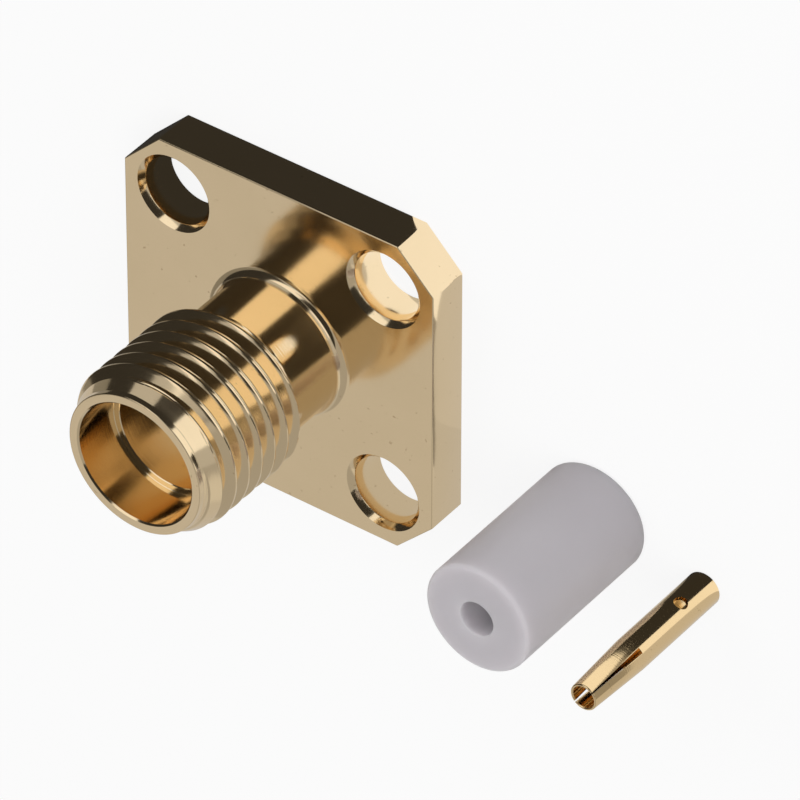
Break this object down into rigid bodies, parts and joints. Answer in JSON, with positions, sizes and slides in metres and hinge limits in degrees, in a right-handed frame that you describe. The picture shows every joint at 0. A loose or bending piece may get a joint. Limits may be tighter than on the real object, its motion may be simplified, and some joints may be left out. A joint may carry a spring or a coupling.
{
  "type": "sma connector",
  "caption": "Square-flange coaxial jack with a threaded barrel, shown as a kit with its loose insulating sleeve and slotted socket contact.",
  "frame": {"origin": "on the barrel's axis, in the flange's rear mounting face, at the centre of its four holes", "axes": "+Z out along the barrel towards the mating end, +X and +Y along the flange's sides; the loose insulator and contact stand on their ends on the +X side"},
  "size_m": [0.0231, 0.0126, 0.0095],
  "materials": {
    "body_gold": "gold plated, turned and tumbled",
    "ptfe": "waxy white PTFE",
    "contact_gold": "gold plated, polished"
  },
  "bodies": {
    "root": {"body": "body_gold", "insulator": "ptfe", "contact": "contact_gold"}
  },
  "joints": []
}
